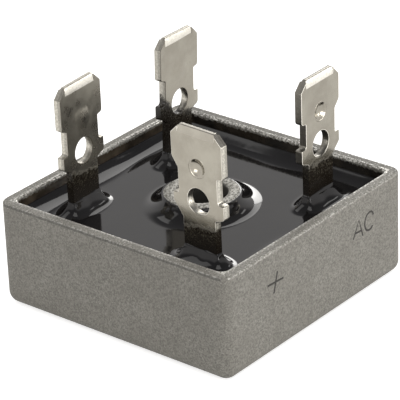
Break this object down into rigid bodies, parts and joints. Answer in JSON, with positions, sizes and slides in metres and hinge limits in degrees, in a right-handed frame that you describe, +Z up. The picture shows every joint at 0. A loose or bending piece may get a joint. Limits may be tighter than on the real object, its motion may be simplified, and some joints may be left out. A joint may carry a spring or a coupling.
{
  "type": "bridge rectifier",
  "caption": "Square metal-case bridge rectifier with a screw hole through its middle, a dark potted top and upright quick-connect tabs with wire holes.",
  "frame": {"origin": "centre of the can's underside, on the axis of the screw hole", "axes": "+Z up along the screw hole, -Y towards the marked side, which has the positive tab at its left end"},
  "size_m": [0.0286, 0.0286, 0.0231],
  "materials": {
    "can": "satin",
    "plated_tabs": "satin",
    "potting": "gloss",
    "ceramic": "matte",
    "bond": "matte",
    "silicon": "gloss",
    "solder": "satin"
  },
  "bodies": {
    "root": {"case": "can", "bond_layer": "bond", "insulator_wafer": "ceramic", "lead_positive": "plated_tabs", "lead_negative": "plated_tabs", "lead_ac_right": "plated_tabs", "lead_ac_left": "plated_tabs", "die_front": "silicon", "die_left": "silicon", "die_right": "silicon", "die_rear": "silicon", "solder_low_front": "solder", "solder_low_left": "solder", "solder_low_right": "solder", "solder_low_rear": "solder", "solder_top_front": "solder", "solder_top_left": "solder", "solder_top_right": "solder", "solder_top_rear": "solder", "potting_compound": "potting"}
  },
  "joints": []
}
